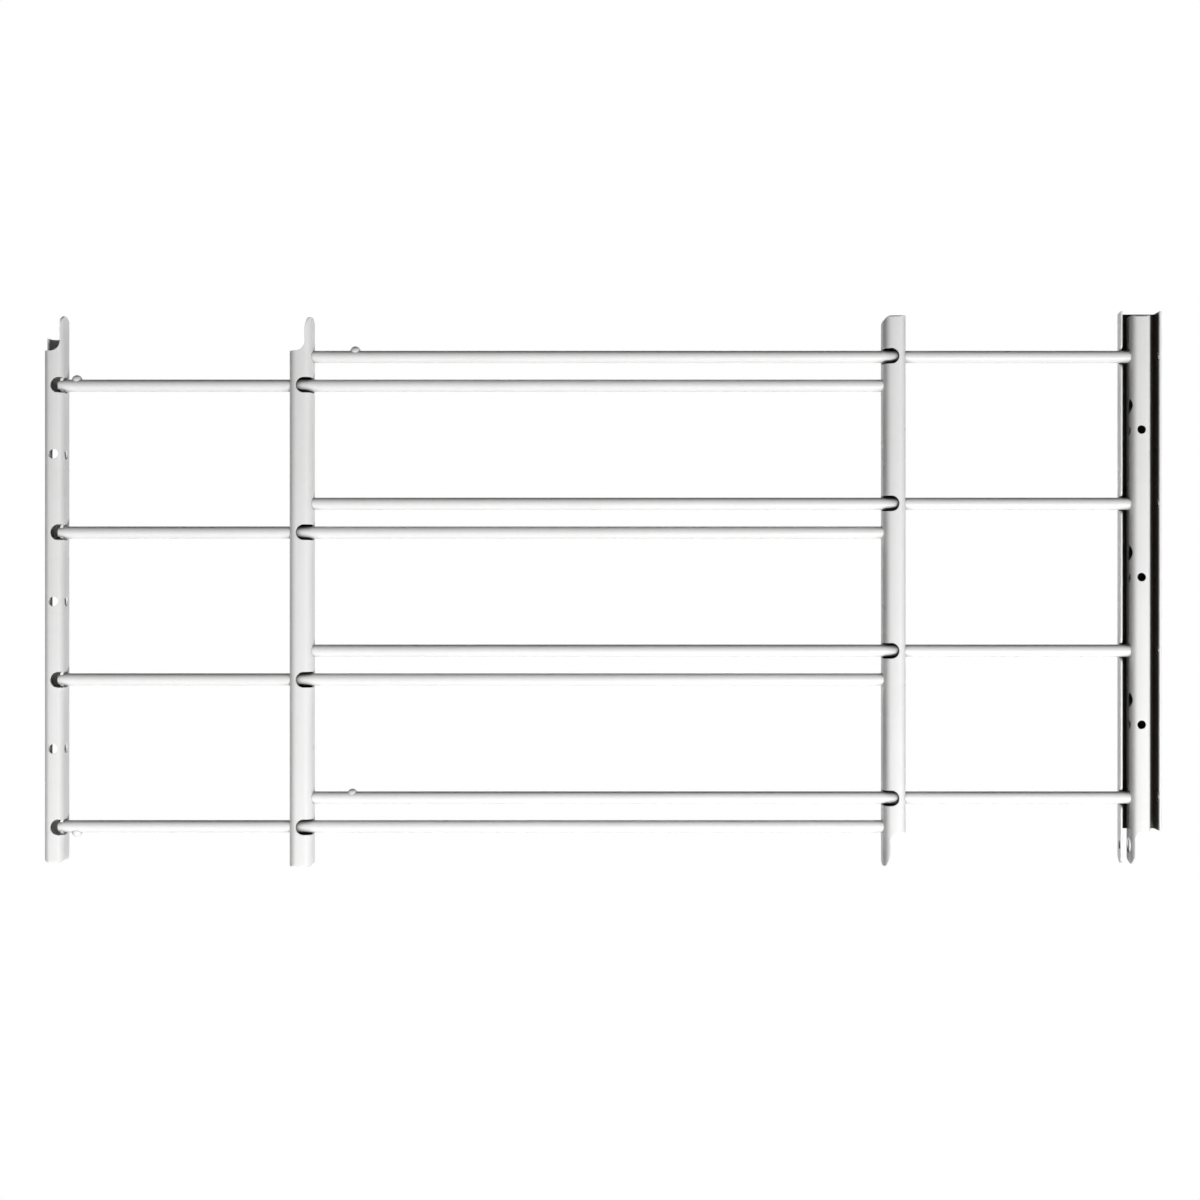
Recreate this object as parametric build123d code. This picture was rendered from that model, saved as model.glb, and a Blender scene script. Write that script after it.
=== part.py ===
from build123d import *
from math import atan2, degrees, hypot
import os

# A window security bar. Two welded ladders of steel rods telescope sideways through each other, and
# the right ladder's end rail stands in a channel that is screwed to the window's jamb.
# X = 0 is the channel's jamb face, Y = 0 is the plane of all rod axes with the room at -Y, and Z = 0
# is the middle of the uprights' height. Sizes are in millimetres.

# Rods
rod_diameter = 10.0
rod_end_chamfer = 0.6
rod_count = 4                   # in each half
rod_pitch = 120.0               # from rod to rod of one half
half_stagger = 23.5             # the right half's rods lie this much above the left half's

# Widths across the window
half_width = 701.6              # outer side of an end rail to the outer side of the same half's upright
width_at_rest = 909.7           # outer side of the left end rail to the jamb

# Folded sheet profiles, closed all round
sheet = 1.5
profile_depth = 20.0
rod_depth = 8.0                 # rod axes behind the profiles' front
end_rail_width = 16.0
end_rail_corner = 4.5
upright_width = 19.0
upright_corner = 6.0

# Ends of the profiles, measured beyond the outermost rod axis at that end
left_ear_margin = 32.75         # left end rail's ear tip
upright_ear_margin = 31.5       # uprights' ear tips
right_plain_margin = 31.75      # right half's upright, plain lower end
left_plain_margin = 33.0        # left half's upright, plain upper end
lock_ear_margin = 30.0          # right end rail's and channel's lock ear tips
shoulder_margin = 4.25          # front shoulder below an ear
rear_shoulder_margin = 15.25    # left end rail's outer wall and back, behind its front shoulder
lock_shoulder_margin = 2.75     # right end rail's shoulder above its lock ear
left_foot_margin = 29.0         # left end rail's plain lower end
right_top_margin = 33.0         # right end rail's plain upper end
shoulder_radius = 7.5
ear_rise = 10.0                 # height over which an ear narrows to its tip
left_tip_depth = 5.3            # of the left end rail's ear tip behind its front
lock_tip_depth = 4.0            # the same, on both lock ears
upright_tip_depth = 2.0
upright_ear_slope = 3.8         # the same narrowing of an upright's ear, across its front
heel_radius = 8.0               # back corner of an upright's plain end
toe_radius = 1.5                # front corner of an upright's plain end
right_plain_round = 3.0         # across the front, below the rods' openings
left_plain_round = 7.5          # the same, above them
left_foot_radius = 5.3
left_ear_edge = 3.0             # of the left end rail's front left on its ear
lock_ear_edge = 2.9             # of the right end rail's front left on its lock ear
left_shoulder_depth = 10.0      # depth of the left end rail's front shoulder

# Openings and holes
opening_height = 12.7           # rod openings, lock ear's hole and access holes
end_opening_reach = 10.6        # across the left end rail's front, from its inner side
upright_opening_reach = 13.2    # across an upright's front, from its inner side
slide_clearance = 0.3           # round a sliding rod, on the radius
weld_clearance = 0.1            # round a welded rod, on the radius
left_screw_hole = 8.0
left_screw_rise = 3.75          # above the middle between two rods
left_screw_access = 13.5        # cleared in the back behind a screw hole
left_access_offset = 3.5        # of it, towards the outer wall
right_screw_hole = 7.0
side_screw_hole = 8.0
side_access_rise = 20.0         # access holes above the front screw holes

# Rod ends, welds and stop buttons
rod_inset = 6.0                 # a left rod's end inside the left end rail
rod_stickout = 3.0              # a welded rod's end past the wall's inner face
weld_leg = 1.6
weld_land = 1.1                 # a left end rail weld's grip on the wall round the opening
button_diameter = 8.4
button_height = 3.6
low_button_height = 2.2         # the flatter button on the lowest right rod
left_button_offset = 9.0        # from the left end rail's inner side
right_button_offset = 34.3      # from the right-half upright's inner side, on the top rod
low_button_offset = 31.8        # the same, on the lowest rod

# Mounting channel
notch_side_gap = 6.7            # from the notched flange's front edge to the right end rail
jamb_side_gap = 7.5             # from the right end rail to the jamb flange
rail_back_gap = 0.3             # between the right end rail and the web
flange_setback = 3.5            # flanges' front edges behind the rail's front
flange_flare = 1.9              # how far the notched flange leans out from the web to its front edge
channel_bend = 2.5
channel_top_margin = 36.6
channel_foot_margin = 3.25      # web and jamb flange
notch_lip_radius = 3.5
jamb_screw_hole = 6.5
jamb_flange_slant = 2.5         # taken off the jamb flange's upper front corner
lock_hole = 7.5
lock_hole_margin = 15.5         # lock holes beyond the outermost rod axis
cut_margin = 1.0                # how far a cutter starts outside what it cuts

# Places worked out from the sizes above
rod_radius = rod_diameter / 2
opening_radius = opening_height / 2
opening_weld_leg = opening_radius - rod_radius + weld_land
front_y = -rod_depth
back_y = front_y + profile_depth
middle_y = (front_y + back_y) / 2
outer_rod_z = (rod_count - 1) * rod_pitch / 2 + half_stagger / 2
lock_tip_z = outer_rod_z + lock_ear_margin
lock_z = outer_rod_z + lock_hole_margin
channel_width = end_rail_width + notch_side_gap + jamb_side_gap + 2 * sheet
channel_back_y = back_y + rail_back_gap + sheet
flange_front_y = front_y + flange_setback
channel_depth = channel_back_y - flange_front_y
flange_lean = degrees(atan2(flange_flare, channel_depth))
right_rail_x = -sheet - jamb_side_gap - end_rail_width / 2
left_rail_x = end_rail_width / 2 - width_at_rest
right_upright_x = right_rail_x + end_rail_width / 2 - half_width + upright_width / 2
left_upright_x = left_rail_x - end_rail_width / 2 + half_width - upright_width / 2
left_rail_inner_x = left_rail_x + end_rail_width / 2
right_upright_inner_x = right_upright_x + upright_width / 2
left_upright_inner_x = left_upright_x - upright_width / 2
right_rail_inner_x = right_rail_x - end_rail_width / 2


def rod_heights(middle):
    """Heights of one half's rods from the top down, about their middle height."""
    top = middle + (rod_count - 1) * rod_pitch / 2
    return [top - index * rod_pitch for index in range(rod_count)]


left_rod_heights = rod_heights(-half_stagger / 2)
right_rod_heights = rod_heights(half_stagger / 2)


def screw_heights(heights, rise):
    """Heights of the screw holes between neighbouring rods."""
    return [(upper + lower) / 2 + rise for upper, lower in zip(heights, heights[1:])]


def plate_along_x(outline, start, end):
    """An outline drawn in Y and Z, extruded along X."""
    return extrude(Plane.YZ.offset(start) * outline, end - start)


def plate_along_y(outline, front, back):
    """An outline drawn in X and Z, extruded along Y."""
    return extrude(Plane.XZ.offset(-back) * outline, back - front)


def side_hole(wall_x, y, z, diameter):
    """Cutter for a round hole along X through one side wall."""
    return Pos(wall_x, y, z) * Rot(0, 90, 0) * Cylinder(diameter / 2, 4 * sheet)


def face_hole(wall_y, x, z, diameter):
    """Cutter for a round hole along Y through the front or the back."""
    return Pos(x, wall_y, z) * Rot(90, 0, 0) * Cylinder(diameter / 2, 4 * sheet)


def folded_profile(width, corner, bottom, top):
    """A round-cornered tube of folded sheet along Z, centred on X = 0."""
    outer = RectangleRounded(width, profile_depth, corner)
    inner = RectangleRounded(width - 2 * sheet, profile_depth - 2 * sheet, corner - sheet)
    section = Pos(0, middle_y, bottom) * (outer - inner)
    return extrude(section, top - bottom, dir=(0, 0, 1))


def quarter_round(width, height):
    """The part of an ellipse on one side of both its axes; negative sizes turn it left or down."""
    box = Pos(width / 2, height / 2) * Rectangle(abs(width), abs(height))
    return Ellipse(abs(width), abs(height)) & box


def side_outline(front, back, bottom, top, tip_depth):
    """Outline in Y and Z of a profile's side, plain below and narrowing above to an ear's round tip."""
    base = top - ear_rise
    tip = quarter_round(-tip_depth, ear_rise) + quarter_round(back - front - tip_depth, ear_rise)
    body = Pos((front + back) / 2, (bottom + base) / 2) * Rectangle(back - front, base - bottom)
    return body + Pos(front + tip_depth, base) * tip


def rounded_foot(outline, front_radius, back_radius):
    """A side outline with both corners of its lower end rounded."""
    outline = fillet(outline.vertices().group_by(Axis.Y)[0].sort_by(Axis.X)[0], front_radius)
    return fillet(outline.vertices().group_by(Axis.Y)[0].sort_by(Axis.X)[-1], back_radius)


def shoulder_cut(ear_edge, shoulder, back):
    """Cutter above a shoulder and left of an ear, as deep as back, with a round inner corner."""
    width = 2 * upright_width
    height = 4 * profile_depth
    outline = RectangleRounded(width, height, shoulder_radius)
    outline = Pos(ear_edge - width / 2, shoulder + height / 2) * outline
    return plate_along_y(outline, front_y - cut_margin, back)


def rod_opening(side, reach):
    """Cutter for a rod's opening: round-ended across the front from the +X side, and through that side."""
    end_x = side - reach + opening_radius
    length = side - end_x + cut_margin
    depth = rod_depth + cut_margin
    across = Pos((end_x + side + cut_margin) / 2, -depth / 2, 0) * Box(length, depth, opening_height)
    end = Pos(end_x, -depth / 2, 0) * Rot(90, 0, 0) * Cylinder(opening_radius, depth)
    return across + end + side_hole(side, 0, 0, opening_height)


def ear_cut(edge, top):
    """Cutter through the whole depth that slopes an ear's free side to its tip, seen from the front."""
    corner = Pos(0, -ear_rise / 2) * Rectangle(2 * upright_ear_slope, ear_rise)
    corner -= Pos(upright_ear_slope, -ear_rise) * quarter_round(-upright_ear_slope, ear_rise)
    return plate_along_y(Pos(edge, top) * corner, front_y - cut_margin, back_y + cut_margin)


def upright(plain_margin, plain_round):
    """The right half's upright about its own middle, with its ear at the top of the inner (+X) wall."""
    side = upright_width / 2
    ear_z = outer_rod_z + upright_ear_margin
    plain_z = -outer_rod_z - plain_margin
    outline = side_outline(front_y, back_y, plain_z, ear_z, upright_tip_depth)
    outline = rounded_foot(outline, toe_radius, heel_radius)
    body = folded_profile(upright_width, upright_corner, plain_z, ear_z)
    body &= plate_along_x(outline, -side, side)
    face = Pos(0, (plain_z + ear_z) / 2) * Rectangle(upright_width, ear_z - plain_z)
    face = fillet(face.vertices().group_by(Axis.Y)[0].sort_by(Axis.X)[-1], plain_round)
    body &= plate_along_y(face, front_y, back_y)
    ear_edge = side - upright_corner
    body -= shoulder_cut(ear_edge, outer_rod_z + shoulder_margin, back_y + cut_margin)
    body -= ear_cut(ear_edge, ear_z)
    for z in left_rod_heights:
        body -= Pos(0, 0, z) * rod_opening(side, upright_opening_reach)
        body -= side_hole(-side, 0, z, rod_diameter + 2 * slide_clearance)
    for z in right_rod_heights:
        body -= side_hole(side, 0, z, rod_diameter + 2 * weld_clearance)
    return body


def left_end_rail():
    """The left end rail about its own middle: ear at the top of the inner (+X) wall, screw holes."""
    side = end_rail_width / 2
    foot_z = -outer_rod_z - left_foot_margin
    ear_z = outer_rod_z + left_ear_margin
    outline = side_outline(front_y, back_y, foot_z, ear_z, left_tip_depth)
    outline = rounded_foot(outline, toe_radius, toe_radius)
    rail = folded_profile(end_rail_width, end_rail_corner, foot_z, ear_z)
    rail &= plate_along_x(outline, -side, side)
    face = Pos(0, (foot_z + ear_z) / 2) * Rectangle(end_rail_width, ear_z - foot_z)
    face = fillet(face.vertices().group_by(Axis.Y)[0], left_foot_radius)
    rail &= plate_along_y(face, front_y, back_y)
    ear_edge = side - left_ear_edge
    rail -= shoulder_cut(ear_edge, outer_rod_z + shoulder_margin, front_y + left_shoulder_depth)
    rail -= shoulder_cut(ear_edge, outer_rod_z + rear_shoulder_margin, back_y + cut_margin)
    for z in left_rod_heights:
        rail -= Pos(0, 0, z) * rod_opening(side, end_opening_reach)
    for z in screw_heights(left_rod_heights, left_screw_rise):
        rail -= face_hole(front_y, 0, z, left_screw_hole)
        rail -= face_hole(back_y, -left_access_offset, z, left_screw_access)
        rail -= side_hole(side, 0, z, side_screw_hole)
        rail -= side_hole(-side, 0, z, side_screw_hole)
    return rail


def right_end_rail():
    """The right end rail about its own middle: lock ear at the foot of the inner (-X) wall."""
    side = end_rail_width / 2
    top_z = outer_rod_z + right_top_margin
    outline = side_outline(front_y, back_y, -top_z, lock_tip_z, lock_tip_depth)
    outline = rounded_foot(outline, toe_radius, toe_radius)
    rail = folded_profile(end_rail_width, end_rail_corner, -top_z, lock_tip_z)
    rail &= plate_along_x(outline, -side, side)
    rail -= shoulder_cut(side - lock_ear_edge, outer_rod_z + lock_shoulder_margin, back_y + cut_margin)
    rail -= side_hole(side, middle_y, lock_z, opening_height)
    rail = Rot(0, 180, 0) * rail
    for z in right_rod_heights:
        rail -= side_hole(-side, 0, z, rod_diameter + 2 * weld_clearance)
    for z in screw_heights(right_rod_heights, 0):
        rail -= face_hole(front_y, 0, z, right_screw_hole)
        rail -= side_hole(-side, 0, z, side_screw_hole)
        rail -= side_hole(-side, 0, z + side_access_rise, opening_height)
        rail -= side_hole(side, 0, z + side_access_rise, side_screw_hole)
    return rail


def rod_notch():
    """Outline in Y and Z of a notch: a round seat about the rod, open in front, with round lips."""
    seat = Circle(opening_radius)
    throat = Pos(flange_front_y / 2) * Rectangle(-flange_front_y, opening_height)
    lip_y = flange_front_y + notch_lip_radius
    lip_z = opening_radius + notch_lip_radius
    mouth = Rectangle(notch_lip_radius + cut_margin, 2 * lip_z, align=(Align.MAX, Align.CENTER))
    lip = Circle(notch_lip_radius)
    return seat + throat + (Pos(lip_y) * mouth - Pos(lip_y, lip_z) * lip - Pos(lip_y, -lip_z) * lip)


def flange_x(y):
    """X of the notched flange's outer face at a depth; the flange leans out towards its front edge."""
    return flange_flare * (y - flange_front_y) / channel_depth - channel_width


def channel_sections():
    """The channel's section in X and Y, and the part of it that is its notched flange alone."""
    outer = Polygon((0, flange_front_y), (0, channel_back_y), (flange_x(channel_back_y), channel_back_y),
                    (flange_x(flange_front_y), flange_front_y), align=None)
    outer = fillet(outer.vertices().group_by(Axis.Y)[-1], channel_bend)
    lean = hypot(channel_depth, flange_flare) / channel_depth
    start_y = flange_front_y - cut_margin
    web_y = channel_back_y - sheet
    past_y = channel_back_y + cut_margin
    inside = Polygon((-sheet, start_y), (-sheet, web_y), (flange_x(web_y) + sheet * lean, web_y),
                     (flange_x(start_y) + sheet * lean, start_y), align=None)
    inside = fillet(inside.vertices().group_by(Axis.Y)[-1], channel_bend - sheet)
    beside = Polygon((cut_margin, start_y), (cut_margin, past_y), (flange_x(past_y) + sheet * lean, past_y),
                     (flange_x(start_y) + sheet * lean, start_y), align=None)
    return outer - inside, outer - beside


def mounting_channel():
    """The jamb channel in place: web, notched inner flange with the lock ear, drilled jamb flange."""
    section, flange = channel_sections()
    top_z = outer_rod_z + channel_top_margin
    foot_z = -outer_rod_z - channel_foot_margin
    channel = extrude(Pos(0, 0, foot_z) * section, top_z - foot_z, dir=(0, 0, 1))
    channel += extrude(Pos(0, 0, -lock_tip_z) * flange, lock_tip_z + top_z, dir=(0, 0, 1))
    outline = side_outline(flange_front_y, channel_back_y, -top_z, lock_tip_z, lock_tip_depth)
    channel &= mirror(plate_along_x(outline, -channel_width, 0), Plane.XY)

    slant = Polygon((0, 0), (jamb_flange_slant, 0), (0, -jamb_flange_slant), align=None)
    channel -= plate_along_x(Pos(flange_front_y, top_z) * slant, -sheet - cut_margin, cut_margin)
    notch_end_x = flange_x(channel_back_y) + sheet + cut_margin
    notch = plate_along_x(rod_notch(), -channel_width - cut_margin, notch_end_x)
    for z in right_rod_heights:
        channel -= Pos(0, 0, z) * notch
        channel -= side_hole(0, 0, z, jamb_screw_hole)
    lock_cutter = Rot(0, 0, -flange_lean) * side_hole(0, 0, 0, lock_hole)
    channel -= Pos(flange_x(middle_y), middle_y, -lock_z) * lock_cutter
    return channel


def rod(start_x, end_x, z):
    """A straight round rod along X with chamfered ends."""
    bar = Cylinder(rod_radius, end_x - start_x)
    bar = chamfer(bar.edges().filter_by(GeomType.CIRCLE), rod_end_chamfer)
    return Pos((start_x + end_x) / 2, 0, z) * Rot(0, 90, 0) * bar


def stop_button(x, z, height, side):
    """A round-headed stop on a rod's top (side 1) or underside (side -1)."""
    centre = rod_radius + height - button_diameter / 2
    head = Pos(0, 0, side * centre) * Sphere(button_diameter / 2)
    return Pos(x, 0, z) * (head - Rot(0, 90, 0) * Cylinder(rod_radius, 2 * button_diameter))


def weld_beads(wall_x, into, leg, corner, heights):
    """Quarter-round beads about the rods on the flat of a wall's inner face; into is 1 or -1 along X."""
    quarter = Circle(leg) & Rectangle(leg, leg, align=(Align.MIN, Align.MIN))
    ring = revolve(Pos(0, rod_radius) * quarter, Axis.X, 360)
    bead = ring & Pos(0, middle_y, 0) * Box(4 * leg, profile_depth - 2 * corner, profile_depth)
    if into < 0:
        bead = mirror(bead, Plane.YZ)
    return Compound([Pos(wall_x, 0, z) * bead for z in heights])


def all_nodes():
    """Every sub-part in place, by the name of its node."""
    right_upright = upright(right_plain_margin, right_plain_round)
    left_upright = Rot(0, 180, 0) * upright(left_plain_margin, left_plain_round)
    nodes = {
        "mounting_channel": mounting_channel(),
        "right_end_rail": Pos(right_rail_x, 0, 0) * right_end_rail(),
        "right_half_upright": Pos(right_upright_x, 0, 0) * right_upright,
        "left_half_upright": Pos(left_upright_x, 0, 0) * left_upright,
        "left_end_rail": Pos(left_rail_x, 0, 0) * left_end_rail(),
        "left_rail_welds": weld_beads(
            left_rail_inner_x - sheet, -1, opening_weld_leg, end_rail_corner, left_rod_heights),
        "left_upright_welds": weld_beads(
            left_upright_inner_x + sheet, 1, weld_leg, upright_corner, left_rod_heights),
        "right_upright_welds": weld_beads(
            right_upright_inner_x - sheet, -1, weld_leg, upright_corner, right_rod_heights),
        "right_rail_welds": weld_beads(
            right_rail_inner_x + sheet, 1, weld_leg, end_rail_corner, right_rod_heights),
    }
    end_past_wall = sheet + rod_stickout
    for index in range(rod_count):
        nodes[f"left_rod_{index + 1}"] = rod(
            left_rail_inner_x - rod_inset, left_upright_inner_x + end_past_wall, left_rod_heights[index])
        nodes[f"right_rod_{index + 1}"] = rod(
            right_upright_inner_x - end_past_wall, right_rail_inner_x + end_past_wall,
            right_rod_heights[index])

    left_button_x = left_rail_inner_x + left_button_offset
    nodes["left_top_stop_button"] = stop_button(
        left_button_x, left_rod_heights[0], button_height, 1)
    nodes["left_bottom_stop_button"] = stop_button(
        left_button_x, left_rod_heights[-1], button_height, -1)
    nodes["right_top_stop_button"] = stop_button(
        right_upright_inner_x + right_button_offset, right_rod_heights[0], button_height, 1)
    nodes["right_bottom_stop_button"] = stop_button(
        right_upright_inner_x + low_button_offset, right_rod_heights[-1], low_button_height, 1)
    return nodes


def main():
    os.makedirs("parts", exist_ok=True)
    for name, shape in all_nodes().items():
        export_step(shape, f"parts/{name}.step")


main()
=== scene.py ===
import math

import bpy
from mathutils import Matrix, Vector

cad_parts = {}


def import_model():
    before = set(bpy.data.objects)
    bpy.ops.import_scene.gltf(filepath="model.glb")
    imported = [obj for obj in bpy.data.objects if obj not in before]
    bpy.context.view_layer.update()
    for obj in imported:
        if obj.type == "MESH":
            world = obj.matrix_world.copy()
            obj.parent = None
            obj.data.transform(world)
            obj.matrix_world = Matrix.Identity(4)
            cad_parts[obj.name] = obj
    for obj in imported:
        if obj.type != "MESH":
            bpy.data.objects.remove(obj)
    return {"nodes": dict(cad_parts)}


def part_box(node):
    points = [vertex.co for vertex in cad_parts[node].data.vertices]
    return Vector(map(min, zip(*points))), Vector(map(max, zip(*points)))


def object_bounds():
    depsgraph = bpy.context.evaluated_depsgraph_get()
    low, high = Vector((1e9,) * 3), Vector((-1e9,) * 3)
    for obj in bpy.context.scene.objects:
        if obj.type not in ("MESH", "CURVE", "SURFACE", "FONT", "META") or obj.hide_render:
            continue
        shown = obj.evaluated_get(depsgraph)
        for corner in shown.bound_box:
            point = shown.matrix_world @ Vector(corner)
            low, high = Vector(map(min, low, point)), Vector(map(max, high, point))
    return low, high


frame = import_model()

CAD_LOW, CAD_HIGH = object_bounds()

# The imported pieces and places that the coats, the view, the floor and the lamps are set from, in metres
NODES = frame["nodes"]
FRONT_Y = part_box("left_end_rail")[0].y
MIDDLE = (CAD_LOW + CAD_HIGH) / 2


# ---------------------------------------------------------------- sizes and levels

# Noise in the enamel, in cells per metre, and the part of each noise that shows
BROAD_SCALE = 14.0
BROAD_SHOWS = (0.3, 0.7)
DRAWN_SCALE = 260.0
DRAWN_STRETCH = 0.08            # of the drawn marks' scale along Z
DRAWN_SHOWS = (0.35, 0.75)
DRAWN_SHARE = 0.3
DUST_SCALE = 1300.0
DUST_SHOWS = (0.74, 0.82)
CHIP_SCALE = 420.0
CHIP_SHOWS = (0.60, 0.66)
CHIP_SHARE = 0.8

# Tones, as grey levels, and how warm each one is
BROAD_DARKER = 0.03
DRAWN_DARKER = 0.06
WORN_TONE = (0.42, 0.02)
# The near black that the painted shade in crevices darkens towards
PAINTED_SHADE_TONE = (0.05, 0.004)
# The warmth of the painted inside tone
INSIDE_WARMTH = 0.01

# The coat's surface
SHINE = 0.18                    # where 0.5 is a full gloss
INSIDE_SHINE = 0.02
ENAMEL_IOR = 1.5
ROUGHNESS = (0.24, 0.36)
WORN_ROUGHER = 0.3
PEEL_HEIGHT = 0.0004
EDGE_RADIUS = 0.0005
EDGE_SHOWS = (0.98, 0.75)       # how far the rounded normal agrees with the real one
EDGE_SAMPLES = 6
EDGE_WORN = 0.35                # the least wear along an edge

# Painted shade where other pieces crowd in, from an ambient-occlusion mask
SHADE_REACH = 0.012
SHADE_SHOWS = (0.40, 0.95)
SHADE_SAMPLES = 16

# Folded profiles: outer corners, and the depth below the outer face where the painted inside tone starts
CORNERS = {"left_end_rail": 0.0045, "right_end_rail": 0.0045, "left_half_upright": 0.006,
           "right_half_upright": 0.006}
INSIDE_SKIN = 0.0014
INSIDE_FADE = 0.00005
CHANNEL_FADE = 0.005            # from the channel's front edges to its inside, which is painted dark as shade
WEB_FACES = -0.5                # Y of a normal that looks out of the channel
# Where across its width each profile's face stands highest, from -1 to 1, and its slope at the sides
CROWNS = {"left_end_rail": (-0.1, 0.5), "left_half_upright": (0.35, 0.7), "right_half_upright": (0.0, 0.45),
          "right_end_rail": (0.4, 0.55)}
# Painted inside tones: dark painted shade inside the uprights, the right rail and the channel, and nearly
# white in the left rail, whose inside light reaches
PAINTED_INSIDE_TONES = {"left_end_rail": 0.80, "left_half_upright": 0.12, "right_half_upright": 0.12,
                "right_end_rail": 0.12, "mounting_channel": 0.08}

# The camera stands level, a little right of the bar's middle and a touch below it
ASIDE = 0.032                   # right of the view's middle
VIEW_LEFT = 0.00245             # the view's middle, left of the bar's
VIEW_WIDTH = 0.9751             # what the view takes in at the bar's front
EYE_AWAY = 1.463                # from the bar's front
EYE_Z = -0.0069
SENSOR = 36.0
LENS = 54.0

# The floor and the background
WORLD_FILL = 0.05               # the world's light on surfaces, where 1 is the white that is seen
FLOOR_HALF = 6.0
FLOOR_BELOW = 1.4
FLOOR_TONE = 0.9
FLOOR_GLOW = (0.85, 1.0)        # the floor's share of plain white near the middle and far out
FLOOR_FADE = (0.8, 2.4)         # distances between which it changes
SUN_SPREAD = 10                 # degrees


# ---------------------------------------------------------------- materials

class Nodes:
    """A material's node tree, with short calls for its nodes and links."""

    def __init__(self, name):
        self.material = bpy.data.materials.new(name)
        self.material.use_nodes = True
        self.tree = self.material.node_tree
        self.tree.nodes.clear()

    def add(self, kind, **inputs):
        node = self.tree.nodes.new(kind)
        for key, value in inputs.items():
            node.inputs[key.replace("_", " ")].default_value = value
        return node

    def link(self, source, target):
        self.tree.links.new(source, target)

    def place(self):
        """A point's place in its object."""
        return self.tree.nodes.new("ShaderNodeTexCoord").outputs["Object"]

    def axes(self, vector):
        """A vector's X, Y and Z."""
        node = self.tree.nodes.new("ShaderNodeSeparateXYZ")
        self.link(vector, node.inputs[0])
        return node.outputs

    def noise(self, coordinates, scale, detail=2.0, roughness=0.5):
        node = self.add("ShaderNodeTexNoise", Scale=scale, Detail=detail, Roughness=roughness)
        self.link(coordinates, node.inputs["Vector"])
        return node.outputs["Fac"]

    def spread(self, value, low, high, to_low, to_high):
        """A value from low to high, stretched to run from to_low to to_high."""
        node = self.add("ShaderNodeMapRange")
        for index, number in zip((1, 2, 3, 4), (low, high, to_low, to_high)):
            node.inputs[index].default_value = number
        self.link(value, node.inputs[0])
        return node.outputs[0]

    def math(self, operation, *values):
        node = self.tree.nodes.new("ShaderNodeMath")
        node.operation = operation
        for socket, value in zip(node.inputs, values):
            if isinstance(value, (int, float)):
                socket.default_value = value
            else:
                self.link(value, socket)
        return node.outputs[0]

    def mix(self, factor, first, second):
        """A colour between two; each is a colour or an output."""
        node = self.tree.nodes.new("ShaderNodeMix")
        node.data_type = "RGBA"
        self.link(factor, node.inputs[0])
        for socket, value in ((node.inputs[6], first), (node.inputs[7], second)):
            if isinstance(value, tuple):
                socket.default_value = value
            else:
                self.link(value, socket)
        return node.outputs[2]

    def crevice_shade(self):
        """1 where other surfaces crowd in within the painted shade's reach, and 0 in the open: the mask for
        painted shade in crevices.
        """
        near = self.tree.nodes.new("ShaderNodeAmbientOcclusion")
        near.samples = SHADE_SAMPLES
        near.inputs["Distance"].default_value = SHADE_REACH
        return self.spread(near.outputs["AO"], *SHADE_SHOWS, 1.0, 0.0)

    def edges(self):
        """The rounded normal, and 1 along sharp and folded edges and 0 on flats."""
        rounded = self.tree.nodes.new("ShaderNodeBevel")
        rounded.samples = EDGE_SAMPLES
        rounded.inputs["Radius"].default_value = EDGE_RADIUS
        real = self.tree.nodes.new("ShaderNodeNewGeometry").outputs["Normal"]
        dot = self.tree.nodes.new("ShaderNodeVectorMath")
        dot.operation = "DOT_PRODUCT"
        self.link(rounded.outputs[0], dot.inputs[0])
        self.link(real, dot.inputs[1])
        return rounded.outputs[0], self.spread(dot.outputs["Value"], *EDGE_SHOWS, 0.0, 1.0)

    def crowned(self, place, normal, top, slope):
        """The normal of a rolled face that stands highest at X = top and slopes more with each metre."""
        across = self.math("SUBTRACT", self.axes(place)[0], top)
        height = self.math("MULTIPLY", self.math("MULTIPLY", across, across), -slope / 2)
        rolled = self.add("ShaderNodeBump", Strength=1.0, Distance=1.0)
        self.link(height, rolled.inputs["Height"])
        self.link(normal, rolled.inputs["Normal"])
        return rolled.outputs["Normal"]

    def finish(self, shader):
        """The material, with the shader as its surface."""
        output = self.tree.nodes.new("ShaderNodeOutputMaterial")
        self.link(shader.outputs[0], output.inputs["Surface"])
        return self.material


def grey(level, warm=0.0):
    return (level, level - warm / 3, level - warm, 1.0)


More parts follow.
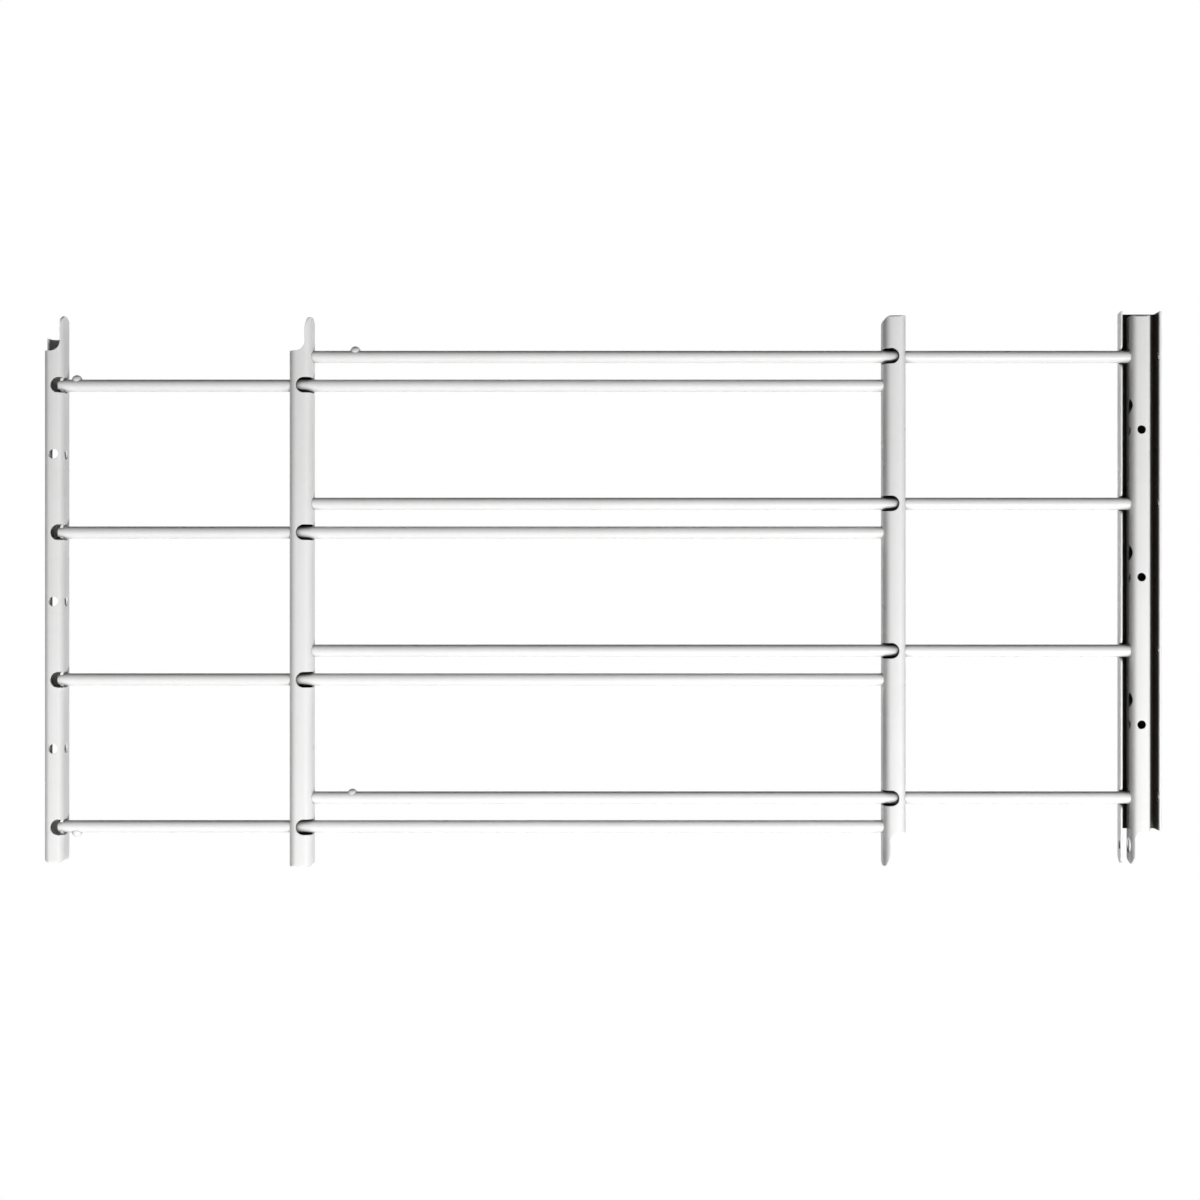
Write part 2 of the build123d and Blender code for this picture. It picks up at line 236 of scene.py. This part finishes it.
def enamel(name, tone, peel, peel_scale, specks=0.3, painted_shade=0.0, inside=None, painted_inside_tone=0.5, crown=None):
    """White enamel over steel: orange peel, slow tone and gloss changes, dust under the coat, thin paint
    on the edges, and painted shade where other pieces crowd in, an ambient-occlusion darkening of the
    base colour. Inside a folded profile the base colour is a painted inside tone that stands in for the
    shade there, or the light where light gets in. A crown is a rolled face's slow curve across its width:
    the X it is highest at, and its slope per metre."""
    m = Nodes(name)
    place = m.place()
    broad = m.noise(place, BROAD_SCALE, 3.0)
    streaks = m.add("ShaderNodeMapping")
    streaks.inputs["Scale"].default_value = (1.0, 1.0, DRAWN_STRETCH)
    m.link(place, streaks.inputs["Vector"])
    drawn = m.noise(streaks.outputs[0], DRAWN_SCALE, 2.0)
    fine = m.noise(place, peel_scale, 3.0, 0.55)
    dust = m.noise(place, DUST_SCALE, 1.0)
    base = m.mix(m.spread(broad, *BROAD_SHOWS, 0.0, 1.0), grey(tone - BROAD_DARKER, 0.006), grey(tone, 0.004))
    base = m.mix(m.spread(drawn, *DRAWN_SHOWS, 0.0, DRAWN_SHARE), base, grey(tone - DRAWN_DARKER, 0.008))
    base = m.mix(m.spread(dust, *DUST_SHOWS, 0.0, specks), base, grey(tone * 0.5, 0.02))
    normal, edge = m.edges()
    chips = m.spread(m.noise(place, CHIP_SCALE, 2.0), *CHIP_SHOWS, 0.0, CHIP_SHARE)
    worn = m.math("MULTIPLY", edge, m.math("MAXIMUM", chips, EDGE_WORN))
    base = m.mix(worn, base, grey(*WORN_TONE))
    # Painted shade: the base colour darkens towards near black where ambient occlusion finds other surfaces
    # close
    if painted_shade:
        base = m.mix(m.spread(m.crevice_shade(), 0.0, 1.0, 0.0, painted_shade), base, grey(*PAINTED_SHADE_TONE))
    shader = m.add("ShaderNodeBsdfPrincipled", Metallic=0.0, IOR=ENAMEL_IOR, Specular_IOR_Level=SHINE)
    # Painted inside tone: inside the walls the base colour is swapped for a tone that stands in for the shade
    # there, or the light where light gets in
    if inside:
        within = inside(m)
        base = m.mix(within, base, grey(painted_inside_tone, INSIDE_WARMTH))
        m.link(m.spread(within, 0.0, 1.0, SHINE, INSIDE_SHINE), shader.inputs["Specular IOR Level"])
    m.link(base, shader.inputs["Base Color"])
    gloss = m.spread(broad, *BROAD_SHOWS, *ROUGHNESS)
    m.link(m.math("ADD", gloss, m.math("MULTIPLY", worn, WORN_ROUGHER)), shader.inputs["Roughness"])
    if crown:
        normal = m.crowned(place, normal, *crown)
    bump = m.add("ShaderNodeBump", Strength=peel, Distance=PEEL_HEIGHT)
    m.link(fine, bump.inputs["Height"])
    m.link(normal, bump.inputs["Normal"])
    m.link(bump.outputs["Normal"], shader.inputs["Normal"])
    return m.finish(shader)


def inside_profile(low, high, corner, skin):
    """A mask that is 1 deeper than the sheet's skin inside a round-cornered profile along Z: where the
    painted inside tone goes.
    """
    def mask(m):
        axes = m.axes(m.place())
        outs = []
        past = []
        for axis in range(2):
            offset = m.math("SUBTRACT", axes[axis], (low[axis] + high[axis]) / 2)
            out = m.math("SUBTRACT", m.math("ABSOLUTE", offset), (high[axis] - low[axis]) / 2 - corner)
            outs.append(out)
            past.append(m.math("MAXIMUM", out, 0.0))
        squares = [m.math("MULTIPLY", value, value) for value in past]
        round_corner = m.math("SQRT", m.math("ADD", *squares))
        nearest = m.math("MINIMUM", m.math("MAXIMUM", *outs), 0.0)
        depth = m.math("SUBTRACT", corner, m.math("ADD", round_corner, nearest))
        return m.spread(depth, skin, skin + INSIDE_FADE, 0.0, 1.0)
    return mask


def inside_channel(low, high):
    """A mask that is 1 between the channel's flanges, fading out towards their front edges: where the
    channel's painted inside shade goes.
    """
    def mask(m):
        axes = m.axes(m.place())
        normal = m.axes(m.tree.nodes.new("ShaderNodeNewGeometry").outputs["Normal"])
        from_middle = m.math("SUBTRACT", axes[0], (low.x + high.x) / 2)
        between = m.math("LESS_THAN", m.math("MULTIPLY", from_middle, normal[0]), 0.0)
        web = m.math("LESS_THAN", normal[1], WEB_FACES)
        behind = m.spread(axes[1], low.y, low.y + CHANNEL_FADE, 0.0, 1.0)
        return m.math("MULTIPLY", m.math("MAXIMUM", between, web), behind)
    return mask


def profile_enamel(node, painted_inside_tone):
    """Enamel for a folded profile or the channel, with a painted inside tone inside its walls that stands in
    for their shade, or for light where light gets in.
    """
    low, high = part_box(node)
    if node in CORNERS:
        mask = inside_profile(low, high, CORNERS[node], INSIDE_SKIN)
    else:
        mask = inside_channel(low, high)
    crown = None
    if node in CROWNS:
        across, slope = CROWNS[node]
        half = (high.x - low.x) / 2
        crown = ((low.x + high.x) / 2 + across * half, slope / half)
    return enamel(node + "_enamel", 0.84, 0.12, 700.0, inside=mask, painted_inside_tone=painted_inside_tone, crown=crown)


def dress(node, material):
    for slot in NODES[node].material_slots:
        slot.material = material


# The rods get painted shade where they run into the profiles and past other pieces
ROD = enamel("rod_enamel", 0.84, 0.12, 280.0, specks=0.15, painted_shade=0.85)
WELD = enamel("weld_enamel", 0.80, 0.5, 1500.0)

for name in NODES:
    if "welds" in name:
        dress(name, WELD)
    elif "rod" in name or "button" in name:
        dress(name, ROD)
    else:
        dress(name, profile_enamel(name, PAINTED_INSIDE_TONES[name]))


# ---------------------------------------------------------------- view, light and background

def camera():
    """Level, in front of the bar, about a metre and a half from its front, a touch below its middle."""
    data = bpy.data.cameras.new("camera")
    data.sensor_width = SENSOR
    data.lens = LENS
    eye = bpy.data.objects.new("camera", data)
    eye.location = (MIDDLE.x - VIEW_LEFT + ASIDE, FRONT_Y - EYE_AWAY, EYE_Z)
    data.shift_x = -ASIDE / VIEW_WIDTH
    eye.rotation_euler = (math.radians(90), 0, 0)
    bpy.context.collection.objects.link(eye)
    bpy.context.scene.camera = eye


def area_lamp(name, place, target, width, height, watts):
    data = bpy.data.lights.new(name, "AREA")
    data.shape = "RECTANGLE"
    data.size = width
    data.size_y = height
    data.energy = watts
    lamp = bpy.data.objects.new(name, data)
    lamp.location = place
    lamp.rotation_euler = (Vector(target) - Vector(place)).to_track_quat("-Z", "Y").to_euler()
    bpy.context.collection.objects.link(lamp)


def sun(name, turn, strength):
    """Even light straight along an axis, with no glare on the walls that it grazes."""
    data = bpy.data.lights.new(name, "SUN")
    data.energy = strength
    data.angle = math.radians(SUN_SPREAD)
    lamp = bpy.data.objects.new(name, data)
    lamp.rotation_euler = turn
    lamp.visible_glossy = False
    bpy.context.collection.objects.link(lamp)


def seen_white(tree, path):
    """1 for the rays that show the background: the camera's, and those in gloss and glass."""
    share = path.outputs["Is Camera Ray"]
    for kind in ("Is Glossy Ray", "Is Transmission Ray"):
        most = tree.nodes.new("ShaderNodeMath")
        most.operation = "MAXIMUM"
        tree.links.new(share, most.inputs[0])
        tree.links.new(path.outputs[kind], most.inputs[1])
        share = most.outputs[0]
    return share


def world():
    """White behind the object, for the camera and in reflections, and a dim even fill on its surfaces."""
    bpy.context.scene.world = bpy.data.worlds.new("studio")
    bpy.context.scene.world.use_nodes = True
    tree = bpy.context.scene.world.node_tree
    background = tree.nodes["Background"]
    path = tree.nodes.new("ShaderNodeLightPath")
    level = tree.nodes.new("ShaderNodeMapRange")
    level.inputs[3].default_value = WORLD_FILL
    level.inputs[4].default_value = 1.0
    tree.links.new(seen_white(tree, path), level.inputs[0])
    background.inputs["Color"].default_value = grey(1.0)
    tree.links.new(level.outputs[0], background.inputs["Strength"])


def floor():
    """A plain pale floor well below the bar: it takes the shadow near the middle and fades to white."""
    mesh = bpy.data.meshes.new("floor")
    z = CAD_LOW.z - FLOOR_BELOW
    corners = [(x * FLOOR_HALF, y * FLOOR_HALF, z) for x, y in ((-1, -1), (1, -1), (1, 1), (-1, 1))]
    mesh.from_pydata(corners, [], [(0, 1, 2, 3)])
    plane = bpy.data.objects.new("floor", mesh)
    plane.location.x = MIDDLE.x
    bpy.context.collection.objects.link(plane)
    m = Nodes("floor_white")
    diffuse = m.add("ShaderNodeBsdfDiffuse", Color=grey(FLOOR_TONE))
    glow = m.add("ShaderNodeEmission", Color=grey(1.0), Strength=1.0)
    path = m.tree.nodes.new("ShaderNodeLightPath")
    from_middle = m.tree.nodes.new("ShaderNodeVectorMath")
    from_middle.operation = "LENGTH"
    m.link(m.place(), from_middle.inputs[0])
    faded = m.spread(from_middle.outputs["Value"], *FLOOR_FADE, *FLOOR_GLOW)
    share = m.math("MULTIPLY", seen_white(m.tree, path), faded)
    blend = m.tree.nodes.new("ShaderNodeMixShader")
    m.link(share, blend.inputs[0])
    m.link(diffuse.outputs[0], blend.inputs[1])
    m.link(glow.outputs[0], blend.inputs[2])
    mesh.materials.append(m.finish(blend))


camera()
world()
floor()
area_lamp("key", place=(MIDDLE.x + 0.7, FRONT_Y - 1.5, -1.0), target=(MIDDLE.x, 0, 0),
          width=0.4, height=0.4, watts=36)
area_lamp("left_fill", place=(MIDDLE.x - 0.9, FRONT_Y - 0.9, -0.6), target=(MIDDLE.x, 0, -0.1),
          width=0.8, height=0.4, watts=5.5)
sun("back_sun", turn=(math.radians(-90), 0, 0), strength=1.9)
sun("right_sun", turn=(0, math.radians(90), 0), strength=0.7)

scene = bpy.context.scene
scene.view_settings.view_transform = "Standard"
